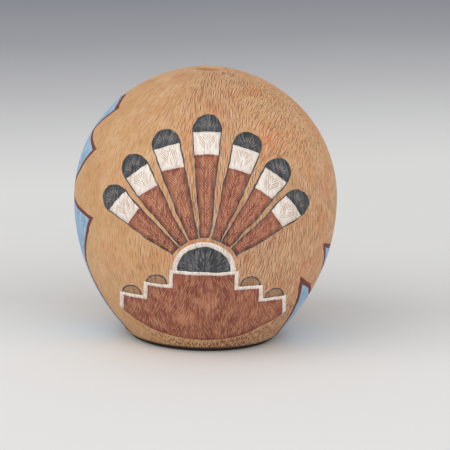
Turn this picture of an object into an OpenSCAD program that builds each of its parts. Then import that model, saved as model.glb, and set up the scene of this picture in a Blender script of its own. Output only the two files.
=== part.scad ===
// Pueblo seed pot: a small coil-built jar, closed over the shoulder down to one seed hole.
// The wall is a moulded base pad, luted clay coils and a closing ring round the hole.
// A tan slip coat covers the wall, and thin layers of coloured slip are painted on it.
// The axis is Z, the pot stands on Z = 0, and the painted front faces -Y.

/* [Pot] */
// Widest diameter of the pot, over the tan slip
belly_d = 66; // [62:0.5:72]
// Height of the widest place above the ground
belly_z = 35; // [33:0.5:38]
// Diameter at which the lower wall runs into the ground
foot_d = 36; // [34:0.5:40]
// Radius that eases the wall into the flat foot
foot_round = 1.5; // [1:0.25:2.5]
// Thickness of the floor inside
floor_t = 5; // [4:0.25:7]

/* [Coils] */
// Thickness of the clay wall at the joints between coils
wall_t = 4; // [3.5:0.25:5]
// Height on the outside up to which the base pad is moulded
pad_h = 9; // [8:0.5:11]
// Number of coils from the base pad up to the widest place
lower_coils = 4; // [3:1:5]
// Number of coils from the widest place up to the closing ring
upper_coils = 5; // [4:1:6]
// How far a joint climbs along the wall from its outer to its inner edge
joint_lap = 1.8; // [0.5:0.1:2.5]
// How far the unsmoothed inside of a coil bulges past its joints
coil_bulge = 0.8; // [0.4:0.1:1.2]

/* [Mouth] */
// Diameter of the seed hole
mouth_d = 6; // [5.8:0.1:8]
// Radius of the rubbed lip of the seed hole
lip_round = 0.7; // [0.4:0.1:1]
// Outer diameter of the closing ring round the seed hole
ring_d = 22; // [18:0.5:24]

/* [Slip] */
// Thickness of the tan slip coat
slip_t = 0.4; // [0.3:0.05:0.6]
// Height of the slip coat's lower edge above the ground
slip_from = 1; // [0.8:0.1:2]
// Width of the bare clay that the slip coat leaves round the rubbed lip
lip_bare = 0.2; // [0.1:0.1:1.5]
// Thickness of the coloured slip painted on the tan coat
paint_t = 0.15; // [0.1:0.05:0.3]

/* [Side panels] */
// Width of the dark red line round each blue panel
outline_w = 1; // [0.6:0.1:1.4]
// Height of the top of the left panel
left_top = 61; // [60:0.5:62]
// Height of the top of the right panel
right_top = 28; // [27:0.5:30]
// Height of the lower ends of both panels
panel_from = 1.8; // [1.4:0.2:4]

/* [Cloud terrace] */
// Half width of the lowest and widest step
step_half_w = 19.5; // [17:0.5:20.5]
// Width that each step loses on each side
step_in = 6; // [5:0.25:7]
// Height of the top of the lowest step
step_z = 14.5; // [13:0.5:16]
// Height of one step
step_h = 4; // [3:0.25:4.5]
// Number of steps
steps = 3; // [2:1:3]
// Radius of the rounded lower edge of the terrace
terrace_r = 34; // [30:1:40]
// Height of the lowest point of the terrace
terrace_from = 3.6; // [3:0.2:5]
// Width of the pale edging above the steps
edging_w = 0.9; // [0.6:0.1:1.2]
// Radius of the half-round clouds that stand on the steps
cloud_r = 2.2; // [1.6:0.1:2.4]

/* [Feather fan] */
// Number of feathers
feathers = 7; // [3:2:7]
// Angle between two feathers
feather_step = 18; // [17:0.5:19]
// Radius of the dark half disc that the feathers spread from
hub_r = 6.5; // [5:0.25:7]
// Width of the pale ring round the half disc
hub_ring_w = 1.2; // [0.8:0.1:1.6]
// Gap between the pale ring and the feathers
feather_gap = 1.2; // [0.8:0.1:2]
// Length of the middle feather
feather_l = 27.5; // [25:0.5:29]
// Length that each next feather loses
feather_loss = 2.2; // [1.5:0.1:2.5]
// Width of a feather at its round tip
feather_w = 6.6; // [5:0.1:7.2]
// Width of a feather at its lower end
quill_w = 1.8; // [1.2:0.1:2.4]
// Length of the pale band below the dark tip
band_l = 5; // [3:0.5:7]

/* [Hidden] */
$fn = 96;
coils = lower_coils + upper_coils;
PAINTED = ["left_panel", "left_outline", "right_panel", "right_outline", "terrace", "terrace_edging",
           "step_clouds", "fan_hub", "hub_ring", "feather_vanes", "feather_bands", "feather_tips"];

tan_slip = "#cda276";
fired_clay = "#bc9069";
blue_slip = "#8eb4d5";
dark_red = "#743932";
red_brown = "#925040";
dark_grey = "#404144";
cream = "#ebe1d4";
ochre = "#a07858";

belly_r = belly_d / 2;
foot_r = foot_d / 2;
pot_h = belly_z + belly_r;
mouth_r = mouth_d / 2;
slip_hole_r = mouth_r + lip_round + lip_bare;
// Centre and radius of the lower wall's arc, upright at the belly and through the foot's edge
low_x = (belly_r * belly_r - foot_r * foot_r - belly_z * belly_z) / (2 * (belly_r - foot_r));
low_r = belly_r - low_x;
// Half width of a half section that holds the whole pot
reach = belly_r + foot_r;
inner_t = slip_t + wall_t;
// Share of a joint's width by which a coil's cutting outline reaches past both faces of the wall
joint_reach = 0.6;

// Wall angles of the lowest and the highest joint, counted from the belly
pad_angle = -asin((belly_z - pad_h) / low_r);
ring_angle = acos(ring_d / belly_d);

function unit(v) = v / norm(v);
function turned(v) = [-v.y, v.x];

// Point at a wall angle and at a depth below the tan slip's surface
function wall_centre(angle) = [angle < 0 ? low_x : 0, belly_z];
function wall_radius(angle) = angle < 0 ? low_r : belly_r;
function wall_point(angle, depth) =
    wall_centre(angle) + (wall_radius(angle) - depth) * [cos(angle), sin(angle)];

// Joint i lies below coil i + 1: joint 0 is on the base pad, the last one under the closing ring
function joint_angle(i) =
    i <= lower_coils ? pad_angle * (1 - i / lower_coils) : ring_angle * (i - lower_coils) / upper_coils;
function joint_climb(i) = joint_lap / wall_radius(joint_angle(i)) * 180 / PI;
function joint_outer(i) = wall_point(joint_angle(i), slip_t);
function joint_inner(i) = wall_point(joint_angle(i) + joint_climb(i), inner_t);
function past_outer(i) = joint_outer(i) + joint_reach * (joint_outer(i) - joint_inner(i));
function past_inner(i) = joint_inner(i) + joint_reach * (joint_inner(i) - joint_outer(i));

// Outline moved inward by a line's width, with sharp corners
function inset(points, width) =
    let (n = len(points))
    [for (i = [0:n - 1])
        let (u = turned(unit(points[i] - points[(i + n - 1) % n])))
        let (v = turned(unit(points[(i + 1) % n] - points[i])))
        points[i] + width * (u + v) / (1 + u * v)];

// Outline of a panel from the corners of its front edge, listed from the top down
function both_edges(edge) =
    let (n = len(edge))
    concat([for (i = [0:n - 1]) [-edge[i].x, edge[i].y]], [for (i = [n - 1:-1:1]) edge[i]]);

// Corners of the saw-toothed front edges: distance from the panel's middle line, and height
left_edge = [[0, left_top], [7.6, left_top - 2.4], [2.6, 52], [12.6, 49.2], [6.9, 42], [1.7, 37.2],
             [1.7, 35.4], [18.4, 33.2], [9.1, 19.5], [9.7, 9], [9.3, panel_from]];
right_edge = [[0, right_top], [3.4, 24.7], [13.7, 27], [3.6, 15.6], [3.6, 11.6], [19.2, 19.8],
              [8.5, panel_from]];

fan_z = step_z + (steps - 1) * step_h + edging_w;
feather_from = hub_r + hub_ring_w + feather_gap;
tip_r = feather_w / 2;

// Half section of the whole pot, its surface moved outward by a skin's thickness
module body_section(grow) {
    intersection() {
        translate([0, belly_z]) circle(belly_r + grow);
        translate([0, belly_z]) square(reach);
    }
    intersection() {
        translate([low_x, belly_z]) circle(low_r + grow);
        square([reach, belly_z]);
    }
}

// Corner outside a rounding circle, between the rays to the two places where the circle is tangent
module corner_waste(centre, radius, ray_a, ray_b) {
    difference() {
        polygon([centre, centre + ray_a, centre + ray_a + ray_b, centre + ray_b]);
        translate(centre) circle(radius);
    }
}

// Corner between the foot and the lower wall
module foot_waste() {
    low_centre = [low_x, belly_z];
    run = sqrt(pow(low_r - foot_round, 2) - pow(belly_z - foot_round, 2));
    centre = [low_x + run, foot_round];
    corner_waste(centre, foot_round, [0, -2 * foot_round], 2 * foot_round * unit(centre - low_centre));
}

// Corner between the crown and the seed hole
module lip_waste() {
    out = mouth_r + lip_round;
    rise = sqrt(pow(belly_r - lip_round, 2) - out * out);
    centre = [out, belly_z + rise];
    corner_waste(centre, lip_round, [-2 * lip_round, 0], 2 * lip_round * unit([out, rise]));
}

// Half section of the clay: flush with the slip where the slip leaves it bare
module clay_section() {
    body_section(-slip_t);
    intersection() {
        body_section(0);
        union() {
            square([reach, slip_from]);
            translate([0, belly_z]) square([slip_hole_r, reach]);
        }
    }
}

module base_pad() {
    color(fired_clay)
    rotate_extrude()
    difference() {
        intersection() {
            clay_section();
            polygon([[0, 0], [reach, 0], past_outer(0), past_inner(0), [0, past_inner(0).y]]);
        }
        intersection() {
            translate([low_x, belly_z]) circle(low_r - inner_t);
            translate([0, floor_t]) square([reach, belly_z]);
        }
        foot_waste();
    }
}

// Coil number i: smooth outside, lapped on its neighbours, and round inside where no hand reaches
module coil(i) {
    low = joint_inner(i - 1);
    high = joint_inner(i);
    half_chord = norm(high - low) / 2;
    bulge_r = (half_chord * half_chord + coil_bulge * coil_bulge) / (2 * coil_bulge);
    outward = -turned(unit(high - low));
    color(fired_clay)
    rotate_extrude()
    intersection() {
        clay_section();
        polygon([past_outer(i - 1), past_outer(i), past_inner(i), past_inner(i - 1)]);
        translate((low + high) / 2 + (bulge_r - coil_bulge) * outward) circle(bulge_r);
    }
}

module mouth_ring() {
    color(fired_clay)
    rotate_extrude()
    difference() {
        intersection() {
            clay_section();
            polygon([past_outer(coils), [past_outer(coils).x, pot_h], [mouth_r, pot_h],
                     [mouth_r, past_inner(coils).y], past_inner(coils)]);
        }
        translate([0, belly_z]) circle(belly_r - inner_t);
        lip_waste();
    }
}

module slip_coat() {
    color(tan_slip)
    rotate_extrude()
    difference() {
        body_section(0);
        clay_section();
    }
}

// Layer of coloured slip over the whole pot, which each painted shape is cut from
module paint_layer() {
    rotate_extrude()
    difference() {
        body_section(paint_t);
        body_section(0);
    }
}

// Shape drawn in the front view and painted on the front, or turned round to another side
module painted(turn) {
    intersection() {
        paint_layer();
        rotate([90, 0, turn]) linear_extrude(reach) children();
    }
}

// Blue field of a side panel, and the line round it
module panel_field(edge) {
    polygon(inset(both_edges(edge), outline_w));
}

module panel_line(edge) {
    difference() {
        polygon(both_edges(edge));
        panel_field(edge);
    }
}

module left_panel() {
    color(blue_slip) painted(-90) panel_field(left_edge);
}

module left_outline() {
    color(dark_red) painted(-90) panel_line(left_edge);
}

module right_panel() {
    color(blue_slip) painted(90) panel_field(right_edge);
}

module right_outline() {
    color(dark_red) painted(90) panel_line(right_edge);
}

// Stepped outline of the terrace above its rounded lower edge, grown by an edging
module stepped(grow) {
    intersection() {
        for (i = [0:steps - 1]) {
            half_w = step_half_w - i * step_in + grow;
            translate([-half_w, 0]) square([2 * half_w, step_z + i * step_h + grow]);
        }
        translate([0, terrace_from + terrace_r]) circle(terrace_r);
    }
}

module terrace() {
    color(red_brown) painted(0) stepped(0);
}

module terrace_edging() {
    color(cream)
    painted(0)
    difference() {
        stepped(edging_w);
        stepped(0);
    }
}

// One half-round cloud in the middle of each open step
module step_clouds() {
    color(ochre)
    painted(0)
    for (side = [-1, 1], i = [0:steps - 2]) {
        middle = step_half_w - (i + 0.5) * step_in + edging_w;
        translate([side * middle, step_z + i * step_h + edging_w])
        half_disc(cloud_r);
    }
}

module half_disc(radius) {
    intersection() {
        circle(radius);
        translate([-radius, 0]) square([2 * radius, radius]);
    }
}

module fan_hub() {
    color(dark_grey) painted(0) translate([0, fan_z]) half_disc(hub_r);
}

module hub_ring() {
    color(cream)
    painted(0)
    translate([0, fan_z])
    difference() {
        half_disc(hub_r + hub_ring_w);
        half_disc(hub_r);
    }
}

// Every feather of the fan, each at its own length
module feather_fan() {
    half = (feathers - 1) / 2;
    for (i = [-half:half]) {
        $length = feather_l - feather_loss * abs(i);
        translate([0, fan_z]) rotate(-i * feather_step) children();
    }
}

// Blade that flares from the fan's ring up to the height of its tip
module blade() {
    quill_r = quill_w / 2;
    flare_r = quill_r + (tip_r - quill_r) * $length / ($length - tip_r);
    top = feather_from + $length;
    polygon([[-quill_r, feather_from], [quill_r, feather_from], [flare_r, top], [-flare_r, top]]);
}

// Disc about the fan's middle that stops at a distance back from a feather's tip
module disc_below_tip(back) {
    circle(feather_from + $length - back);
}

module feather_vanes() {
    color(red_brown)
    painted(0)
    feather_fan()
    intersection() {
        blade();
        disc_below_tip(tip_r + band_l);
    }
}

module feather_bands() {
    color(cream)
    painted(0)
    feather_fan()
    difference() {
        intersection() {
            blade();
            disc_below_tip(tip_r);
        }
        disc_below_tip(tip_r + band_l);
    }
}

// Round caps, cut off by the pale bands at their widest place
module feather_tips() {
    color(dark_grey)
    painted(0)
    feather_fan()
    difference() {
        translate([0, feather_from + $length - tip_r]) circle(tip_r);
        disc_below_tip(tip_r);
    }
}

base_pad();
for (i = [1:coils]) coil(i);
mouth_ring();
slip_coat();
left_panel();
left_outline();
right_panel();
right_outline();
terrace();
terrace_edging();
step_clouds();
fan_hub();
hub_ring();
feather_vanes();
feather_bands();
feather_tips();
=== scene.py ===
"""Looks of the seed pot: etched tan slip, painted slip, bare clay, studio floor, light and camera.

The pot's own sizes are in millimetres, and its meshes are made in metres.
Charts: a painted shape is drawn as the front view shows it (across, height) and laid on the wall.
Charts turned by a quarter circle lie on the sides.
"""
import collections
import math

import bpy
import numpy as np
from mathutils import Matrix, Vector, geometry, noise


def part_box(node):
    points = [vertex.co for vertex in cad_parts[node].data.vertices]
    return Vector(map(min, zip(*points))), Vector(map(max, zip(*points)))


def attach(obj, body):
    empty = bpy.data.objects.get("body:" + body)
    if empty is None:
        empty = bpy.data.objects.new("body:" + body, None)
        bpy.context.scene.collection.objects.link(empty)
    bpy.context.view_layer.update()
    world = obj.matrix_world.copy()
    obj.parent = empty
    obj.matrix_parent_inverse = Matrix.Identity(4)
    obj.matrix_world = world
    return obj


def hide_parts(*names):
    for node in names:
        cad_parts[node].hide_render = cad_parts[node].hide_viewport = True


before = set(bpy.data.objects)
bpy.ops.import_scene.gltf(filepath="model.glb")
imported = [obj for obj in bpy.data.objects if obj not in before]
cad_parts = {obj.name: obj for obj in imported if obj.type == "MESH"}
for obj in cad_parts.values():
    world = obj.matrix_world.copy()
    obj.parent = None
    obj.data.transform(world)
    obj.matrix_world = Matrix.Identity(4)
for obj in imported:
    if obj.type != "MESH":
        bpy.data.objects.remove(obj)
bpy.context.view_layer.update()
MM = 0.001

# The wall's profile
BELLY_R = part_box("slip_coat")[1].x / MM
BELLY_Z = 35.0
FOOT_R = 18.0
LOW_X = (BELLY_R ** 2 - FOOT_R ** 2 - BELLY_Z ** 2) / (2 * (BELLY_R - FOOT_R))
LOW_R = BELLY_R - LOW_X
POT_H = BELLY_Z + BELLY_R
SLIP_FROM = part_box("slip_coat")[0].z / MM
SLIP_HOLE_R = 3.9
SLIP_T = 0.4

# The painted design
OUTLINE_W = 1.0
PANEL_FROM = 1.8
LEFT_TOP = 61.0
RIGHT_TOP = 28.0
LEFT_EDGE = [(0, LEFT_TOP), (7.6, LEFT_TOP - 2.4), (2.6, 52), (12.6, 49.2), (6.9, 42), (1.7, 37.2),
             (1.7, 35.4), (18.4, 33.2), (9.1, 19.5), (9.7, 9), (9.3, PANEL_FROM)]
RIGHT_EDGE = [(0, RIGHT_TOP), (3.4, 24.7), (13.7, 27), (3.6, 15.6), (3.6, 11.6), (19.2, 19.8),
              (8.5, PANEL_FROM)]
STEPS = 3
STEP_HALF_W = 19.5
STEP_IN = 6.0
STEP_Z = 14.5
STEP_H = 4.0
TERRACE_R = 34.0
TERRACE_FROM = 3.6
EDGING_W = 0.9
CLOUD_R = 2.2
FEATHERS = 7
FEATHER_STEP = 18.0
HUB_R = 6.5
HUB_RING_W = 1.2
FEATHER_GAP = 1.2
FEATHER_L = 27.5
FEATHER_LOSS = 2.2
FEATHER_W = 6.6
QUILL_W = 1.8
BAND_L = 5.0
FEATHER_R = FEATHER_W / 2
BAND_BACK = FEATHER_R + BAND_L
FAN_Z = STEP_Z + (STEPS - 1) * STEP_H + EDGING_W
FEATHER_FROM = HUB_R + HUB_RING_W + FEATHER_GAP
QUILL_FOOT = [(-QUILL_W / 2, FEATHER_FROM), (QUILL_W / 2, FEATHER_FROM)]
FRONT, LEFT, RIGHT = 0.0, -90.0, 90.0

# Hand work on the wall: unevenness, relief of the paint, brushed edges and lines
LUMP_BROAD, LUMP_BROAD_DEPTH = 21.0, 0.10
LUMP_SMALL, LUMP_SMALL_DEPTH = 7.0, 0.035
LUMP_SMALL_SHIFT = Vector((9, 4, 2))
LUMP_MEAN, LUMP_DEEPEST = 0.10, 0.2
LUMP_FOOT_FADE, LUMP_HOLE_FADE = 4.0, 5.0
PAINT_RISE = 0.04
PAINT_EDGE_RISE = 0.02
PAINT_ROOT = 0.2
PAINT_ETCH = 0.05
WORN_REACH = 2.0
Stray = collections.namedtuple("Stray", "size reach layer")
BRUSH_STRAYS = (Stray(5.0, 0.32, 0.4), Stray(1.1, 0.13, 7.2))
STRAY_SHIFT = Vector((31.7, 12.3, 5.9))
LINE_W, LINE_STEP = 0.34, 0.8
LINE_SHARE, LINE_SWELL, LINE_SWELL_SIZE, LINE_LAYER = 0.95, 0.6, 2.2, 5.1

# Spacing of mesh points
EDGE_STEP = 0.5
TILE_GRID, TILE_ROW = 1.0, 0.87
TILE_EDGE_CLEAR, TILE_STROKE_CLEAR = 0.4, 0.18
SLIVER = 1e-4
MASK_CELL, MASK_MARGIN = 0.2, 2.0
WALL_COLUMNS, WALL_ROW, WALL_JITTER = 160, 0.9, 0.25
INNER_ROWS = 60
SAME_PLACE, SAME_ROW = 1e-4, 1e-3
HALF_DISC_POINTS, BOTTOM_POINTS, CUT_POINTS = 25, 40, 9
TABLE_LOW_POINTS, TABLE_HIGH_POINTS = 1500, 2500

# Strokes on the tan ground: sizes, and how far they keep clear
GROUND_SEED, COAT_SEED = 11, 5
GROUND_ETCH = 0.16
BURR = 0.2
STROKE_TRIES = 200000
STROKE_FIRST_L, STROKE_LAST_L, STROKE_L_SPREAD = 3.3, 1.0, (0.8, 1.2)
STROKE_LEAST_W, STROKE_MORE_W = 0.07, (0.03, 0.085)
STROKE_DEPTHS, STROKE_DEEPEST = (0.4, 1.0), 1.1
STROKE_BEND, STROKE_STEP = 0.1, 0.2
STROKE_SIDE_CLEAR, STROKE_END_CLEAR = 0.38, 0.1
STROKE_PAINT_CLEAR, STROKE_FOOT_CLEAR, STROKE_HOLE_CLEAR = 0.28, 0.35, 4.0
SEAM_CLEAR = 1.0
GRID_CELL = 0.12
STROKE_SHARES = (-0.5, 0, 0.5)

# Where strokes slant, crowd or are faint, in heights and in degrees round from the front
SHOULDER_TURN, SHOULDER_Z = (0, 45), (40, 54)
RIGHT_END_TURN = (75, 120)
LOW_RIGHT_TURN, LOW_RIGHT_Z = (0, 25), (19, 9)
FOOT_Z = (10, 4)
FAINT_TURN, FAINT_REACH, FAINT_SHARE = -50.0, 42.0, 0.68
NICK_SIZE, NICK_LAYER, NICK_FROM, NICK_STRENGTH = 2.6, 8.1, (0.38, 0.6), 0.95
SWAY, SWAY_SIZE, SWAY_LAYER = 0.3, 14.0, 3.3
SLANT_LEAN, SLANT_SWAY_LOSS, LEAN_SPREAD = 0.85, 0.6, 0.06
SLANT_MORE_L, SLANT_LESS_CLEAR = 0.35, 0.1
CROWD_LESS_L, CROWD_MORE_W, CROWD_MORE_DEPTH, CROWD_LESS_CLEAR = 0.5, 0.7, 0.9, 0.12

# Kinds of strokes scattered in the paint, and their spread about a kind's length, width and depth
Scatter = collections.namedtuple("Scatter", "seed tries length half_w depth side_clear spread bare",
                                 defaults=(0.07, -1.0))
PANEL_SCRATCHES = Scatter(21, 9000, 2.2, 0.075, 0.8, 0.45, 0.4)
TERRACE_FUR = Scatter(31, 22000, 3.4, 0.1, 1.0, 0.3, 0.1, -0.25)
EDGING_NICKS = Scatter(32, 12000, 0.5, 0.07, 0.9, 0.25, 0.5)
CLOUD_DABS = Scatter(41, 1500, 1.0, 0.09, 0.9, 0.35)
HUB_RAYS = Scatter(51, 2500, 1.7, 0.1, 0.9, 0.4)
RING_NICKS = Scatter(52, 6000, 0.7, 0.07, 0.9, 0.25, 0.3)
SCATTER_LENGTHS, SCATTER_WIDTHS, SCATTER_DEPTHS = (0.5, 1.4), (0.7, 1.2), (0.5, 1.0)
SCATTER_BEND = 0.2
SCATTER_CELL, SCATTER_CLUMP, SCATTER_EDGE_CLEAR = 0.1, 4.0, 0.12
SLANT_WAY = (0.42, 0.91)
FUR_ABOVE, FUR_SWAY, FUR_SWAY_SIZE, FUR_LAYER = 26.0, 0.9, 9.0, 2.7
RAYS_BELOW = 0.5

# Strokes of the feathers: quill dashes, barbs on both sides, rays in the tips
VANE_SEED, BAND_SEED, TIP_SEED = 61, 62, 63
QUILL_DASH, QUILL_PITCH, QUILL_LEAST = 2.45, 2.6, 0.6
QUILL_FOOT_GAP, QUILL_TOP_GAP = 0.45, 0.55
QUILL_HALF_W, QUILL_DEPTH = 0.11, 0.9
BARB_SLANT = math.radians(36)
BARB_ROOT, BARB_EDGE_GAP = 0.3, 0.62
BARB_FIRST, BARB_LAST, BARB_LEAST = 0.4, 0.5, 0.45
BARB_PITCH, BARB_JITTER, BARB_RUN = (0.62, 0.85), 0.1, (0.8, 1.0)
BARB_HALF_W, BARB_DEPTH = (0.08, 0.12), (0.6, 1.0)
RAY_SPREAD, RAY_STEP, RAY_JITTER = 55, 15.7, 3
RAY_NEAR, RAY_SHORT, RAY_DEPTH = (1.0, 1.4), (0.4, 0.9), (0.5, 0.9)


# Wall geometry

def wall_radius(z):
    z = np.asarray(z, float)
    upper = np.sqrt(np.maximum(BELLY_R ** 2 - (z - BELLY_Z) ** 2, 0))
    lower = LOW_X + np.sqrt(np.maximum(LOW_R ** 2 - (z - BELLY_Z) ** 2, 0))
    return np.where(z >= BELLY_Z, upper, lower)


def wall_normal(z):
    """Outward and upward parts of the wall's normal."""
    z = np.asarray(z, float)
    rise = (z - BELLY_Z) / np.where(z >= BELLY_Z, BELLY_R, LOW_R)
    return np.sqrt(1 - rise ** 2), rise


def smooth_step(x, low, high):
    t = np.clip((np.asarray(x, float) - low) / (high - low), 0, 1)
    return t * t * (3 - 2 * t)


def lumps(points):
    """Hand-formed unevenness of the surface, inward, which fades out at the foot and at the hole."""
    broad = np.array([noise.noise(Vector(p) / LUMP_BROAD) for p in points])
    small = np.array([noise.noise(Vector(p) / LUMP_SMALL + LUMP_SMALL_SHIFT) for p in points])
    depth = np.minimum(-LUMP_MEAN + LUMP_BROAD_DEPTH * broad + LUMP_SMALL_DEPTH * small, 0)
    reach = np.hypot(points[:, 0], points[:, 1])
    fade = smooth_step(points[:, 2], SLIP_FROM, SLIP_FROM + LUMP_FOOT_FADE)
    round_hole = smooth_step(reach, SLIP_HOLE_R, SLIP_HOLE_R + LUMP_HOLE_FADE)
    crown = np.where(points[:, 2] > BELLY_Z, round_hole, 1)
    return np.maximum(depth, -LUMP_DEEPEST) * fade * crown


def noise_over(places, size, layer):
    """Smooth noise at places of a chart, about -1 to 1."""
    return np.array([noise.noise(Vector((x / size, z / size, layer))) for x, z in places])


def raised(points, normals, height):
    return points + normals * (lumps(points) + height)[:, None]


def chart_to_wall(flat, turn):
    """Places on the wall, and their normals, for points of a chart."""
    across, z = flat[:, 0], flat[:, 1]
    r = wall_radius(z)
    toward = -np.sqrt(np.maximum(r ** 2 - across ** 2, 0.01))
    out, rise = wall_normal(z)
    points = np.stack([across, toward, z], 1)
    normals = np.stack([out * across / r, out * toward / r, rise], 1)
    spin = np.array(Matrix.Rotation(math.radians(turn), 3, "Z"))
    return points @ spin.T, normals @ spin.T


def wall_to_chart(points, turn):
    """Chart places of points on the wall, and whether they face the chart."""
    spin = np.array(Matrix.Rotation(math.radians(-turn), 3, "Z"))
    local = points @ spin.T
    return local[:, [0, 2]], local[:, 1] < 0


def mercator_table():
    """Heights along the wall, conformal heights that unroll it without shear, and shares of its area."""
    low_a = -math.asin((BELLY_Z - SLIP_FROM) / LOW_R)
    high_a = math.acos(SLIP_HOLE_R / BELLY_R)
    low = np.linspace(low_a, 0, TABLE_LOW_POINTS)
    high = np.linspace(0, high_a, TABLE_HIGH_POINTS)[1:]
    z = np.concatenate([BELLY_Z + LOW_R * np.sin(low), BELLY_Z + BELLY_R * np.sin(high)])
    r = np.concatenate([LOW_X + LOW_R * np.cos(low), BELLY_R * np.cos(high)])
    run = np.hypot(np.diff(z), np.diff(r))
    rise = run / ((r[1:] + r[:-1]) / 2)
    area = np.concatenate([[0], np.cumsum(run * (r[1:] + r[:-1]) / 2)])
    return z, np.concatenate([[0], np.cumsum(rise)]) * BELLY_R, area / area[-1]


TABLE_Z, TABLE_M, TABLE_AREA = mercator_table()
MERCATOR_W = math.pi * BELLY_R
MERCATOR_H = TABLE_M[-1]


def mercator_to_wall(flat):
    """Places on the wall, and their normals, for points of the unrolled wall."""
    turn = flat[:, 0] / BELLY_R
    z = np.interp(flat[:, 1], TABLE_M, TABLE_Z)
    r = wall_radius(z)
    out, rise = wall_normal(z)
    points = np.stack([r * np.sin(turn), -r * np.cos(turn), z], 1)
    normals = np.stack([out * np.sin(turn), -out * np.cos(turn), rise], 1)
    return points, normals


# Outlines of the painted design, as closed loops in a chart

def both_edges(edge):
    return np.array([(-x, z) for x, z in edge] + [(x, z) for x, z in edge[:0:-1]], float)


def inset(points, width):
    """An outline moved inward by a line's width, with sharp corners."""
    before = points - np.roll(points, 1, 0)
    after = np.roll(points, -1, 0) - points
    u = np.stack([-before[:, 1], before[:, 0]], 1) / np.linalg.norm(before, axis=1)[:, None]
    v = np.stack([-after[:, 1], after[:, 0]], 1) / np.linalg.norm(after, axis=1)[:, None]
    return points + width * (u + v) / (1 + (u * v).sum(1))[:, None]


def arc(centre, radius, start, end, count):
    turn = np.radians(np.linspace(start, end, count))
    return np.stack([centre[0] + radius * np.cos(turn), centre[1] + radius * np.sin(turn)], 1)


def half_disc(centre, radius):
    return arc(centre, radius, 0, 180, HALF_DISC_POINTS)


def terrace_bottom(across):
    return TERRACE_FROM + TERRACE_R - math.sqrt(TERRACE_R ** 2 - across ** 2)


def step_corners(grow):
    """Corners of the stepped top, from the right end up and over to the left end."""
    right = []
    for i in range(STEPS):
        across = STEP_HALF_W - i * STEP_IN + grow
        foot = terrace_bottom(across) if i == 0 else STEP_Z + (i - 1) * STEP_H + grow
        right += [(across, foot), (across, STEP_Z + i * STEP_H + grow)]
    return right + [(-x, z) for x, z in right[::-1]]


def terrace_loop():
    ends = math.degrees(math.asin(STEP_HALF_W / TERRACE_R))
    bottom = arc((0, TERRACE_FROM + TERRACE_R), TERRACE_R, -90 - ends, -90 + ends, BOTTOM_POINTS)
    return np.concatenate([step_corners(0), bottom[1:-1]])


def edging_loop():
    return np.array(step_corners(EDGING_W) + step_corners(0)[::-1], float)


def step_cloud_middles():
    middles = []
    for side in (-1, 1):
        for i in range(STEPS - 1):
            across = STEP_HALF_W - (i + 0.5) * STEP_IN + EDGING_W
            middles.append((side * across, STEP_Z + i * STEP_H + EDGING_W))
    return middles


def half_ring(centre, radius, width):
    return np.concatenate([half_disc(centre, radius + width), half_disc(centre, radius)[::-1]])


def feather_frames():
    """Lean in degrees and length of each feather."""
    half = FEATHERS // 2
    return [(i * FEATHER_STEP, FEATHER_L - FEATHER_LOSS * abs(i)) for i in range(-half, half + 1)]


def leaned(points, lean):
    """Points of an upright feather, leaned about the fan's middle."""
    turn = math.radians(-lean)
    c, s = math.cos(turn), math.sin(turn)
    points = np.asarray(points, float)
    return np.stack([c * points[:, 0] - s * points[:, 1], FAN_Z + s * points[:, 0] + c * points[:, 1]], 1)


def feather_half_width(length, along):
    quill = QUILL_W / 2
    return quill + (FEATHER_R - quill) * (along - FEATHER_FROM) / (length - FEATHER_R)


def feather_cut(length, back):
    """Arc across a feather, a distance back from its tip, from its right side to its left."""
    radius = FEATHER_FROM + length - back
    half = math.degrees(math.asin(feather_half_width(length, radius) / radius))
    return arc((0, 0), radius, 90 - half, 90 + half, CUT_POINTS)


def vane_loop(length):
    return np.concatenate([QUILL_FOOT, feather_cut(length, BAND_BACK)])


def band_loop(length):
    low = feather_cut(length, BAND_BACK)
    return np.concatenate([low[::-1], feather_cut(length, FEATHER_R)])


def feather_cap(length):
    return half_disc((0, FEATHER_FROM + length - FEATHER_R), FEATHER_R)


def tip_loop(length):
    return np.concatenate([feather_cut(length, FEATHER_R)[::-1], feather_cap(length)[1:-1]])


def feather_contour(length):
    """Whole outline of an upright feather."""
    return np.concatenate([QUILL_FOOT, feather_cap(length)])


def feather_loops(shape):
    return [leaned(shape(length), lean) for lean, length in feather_frames()]


# Tests in a chart

def inside(points, loops):
    """Whether points lie inside loops, by the even-odd rule."""
    points = np.asarray(points, float)
    odd = np.zeros(len(points), bool)
    for loop in loops:
        x0, y0 = loop[:, 0], loop[:, 1]
        x1, y1 = np.roll(x0, -1), np.roll(y0, -1)
        for a, b, c, d in zip(x0, y0, x1, y1):
            if b == d:
                continue
            crosses = (b > points[:, 1]) != (d > points[:, 1])
            odd ^= crosses & (points[:, 0] < a + (points[:, 1] - b) * (c - a) / (d - b))
    return odd


def edge_distance(points, loops):
    """Distance of points from the nearest edge of any loop."""
    points = np.asarray(points, float)
    best = np.full(len(points), 1e9)
    for loop in loops:
        for start, end in zip(loop, np.roll(loop, -1, 0)):
            run = end - start
            size = run @ run
            if size == 0:
                continue
            t = np.clip((points - start) @ run / size, 0, 1)
            best = np.minimum(best, np.linalg.norm(points - start - t[:, None] * run, axis=1))
    return best


def divided(loop, step):
    """A loop with points at most a step apart."""
    parts = []
    for start, end in zip(loop, np.roll(loop, -1, 0)):
        count = max(1, math.ceil(np.linalg.norm(end - start) / step))
        parts.append(start + (end - start) * np.linspace(0, 1, count, endpoint=False)[:, None])
    return np.concatenate(parts)


# Etched strokes: a spindle-shaped rim with a raised burr and a lower line along its middle

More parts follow.
